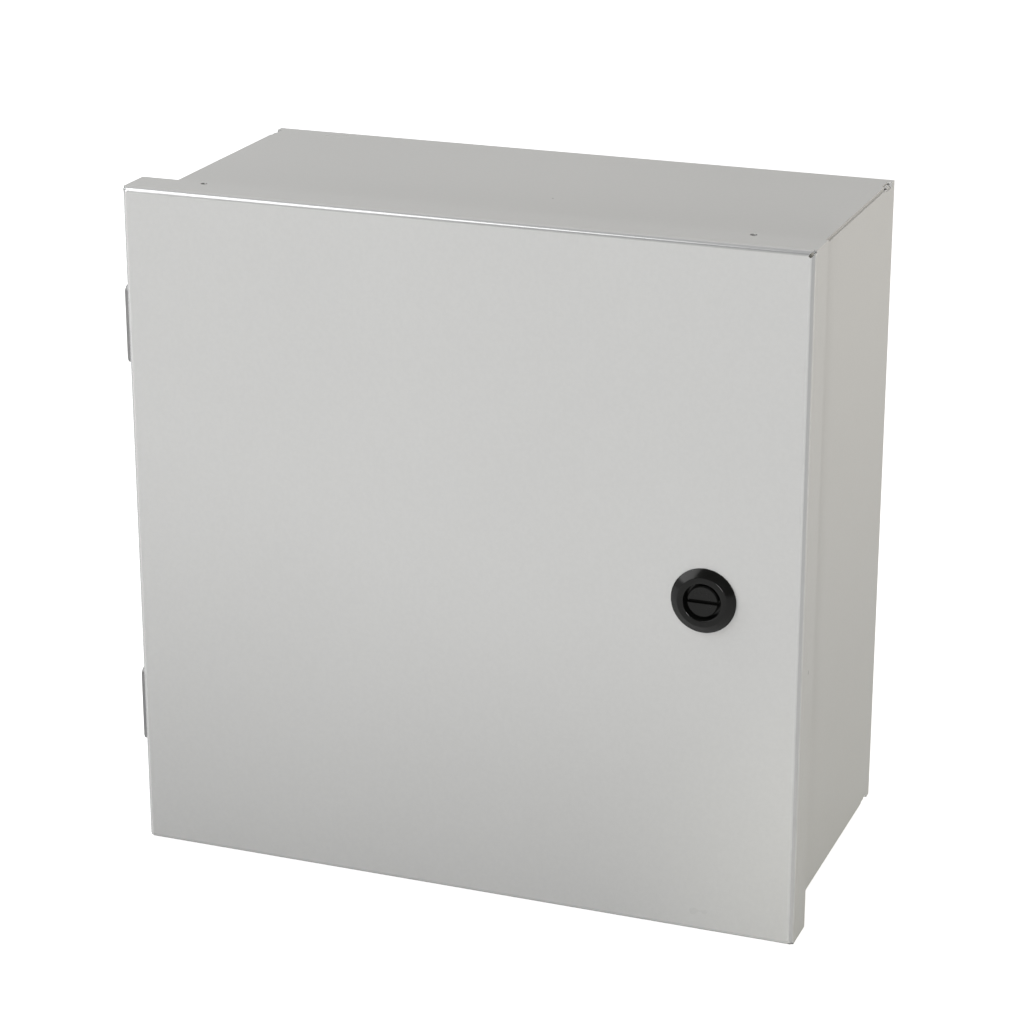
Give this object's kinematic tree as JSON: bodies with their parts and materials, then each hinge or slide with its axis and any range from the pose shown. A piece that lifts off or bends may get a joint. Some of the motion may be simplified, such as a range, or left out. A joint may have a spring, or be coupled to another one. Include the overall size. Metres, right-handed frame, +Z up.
{
  "type": "wall-mounted electrical enclosure",
  "caption": "Wall-mounted folded-steel electrical enclosure with a flanged hinged door, a coin-slot quarter-turn latch and a mounting panel inside.",
  "frame": {"origin": "centre of the back face, which lies against the wall, midway between the wall holes", "axes": "+Y points back into the wall along the wall holes, +Z up, +X towards the latch side; the door faces -Y"},
  "size_m": [0.3078, 0.1554, 0.3048],
  "materials": {
    "body_paint": "satin",
    "door_paint": "satin",
    "panel_paint": "satin",
    "zinc_steel": "satin",
    "dark_steel": "satin",
    "latch_black": "satin",
    "seal_rubber": "matte"
  },
  "bodies": {
    "body": {"body_shell": "body_paint", "panel_studs": "zinc_steel", "back_panel": "panel_paint", "panel_washers": "zinc_steel", "panel_nuts": "zinc_steel", "earth_stud": "zinc_steel", "earth_washer": "zinc_steel", "earth_nut": "zinc_steel", "hinge_body_leaf_upper": "dark_steel", "hinge_body_leaf_lower": "dark_steel", "hinge_pin_upper": "zinc_steel", "hinge_pin_lower": "zinc_steel", "body_leaf_rivets": "zinc_steel"},
    "door": {"door": "door_paint", "hinge_door_leaf_upper": "dark_steel", "hinge_door_leaf_lower": "dark_steel", "door_leaf_rivets": "zinc_steel", "latch_housing": "latch_black", "latch_seal": "seal_rubber", "latch_nut": "zinc_steel", "door_earth_stud": "zinc_steel", "door_earth_washer": "zinc_steel", "door_earth_nut": "zinc_steel"},
    "latch": {"latch_plug": "latch_black", "latch_cam": "zinc_steel", "cam_washer": "zinc_steel", "cam_screw": "zinc_steel"}
  },
  "joints": [
    {"name": "door_hinge", "type": "hinge", "parent": "body", "child": "door", "pos_m": [-0.15085, -0.12845, 0], "axis": [0, 0, -1], "range_deg": [0, 145]},
    {"name": "latch_turn", "type": "hinge", "parent": "door", "child": "latch", "pos_m": [0.11, -0.1524, 0], "axis": [0, -1, 0], "range_deg": [0, 90]}
  ]
}
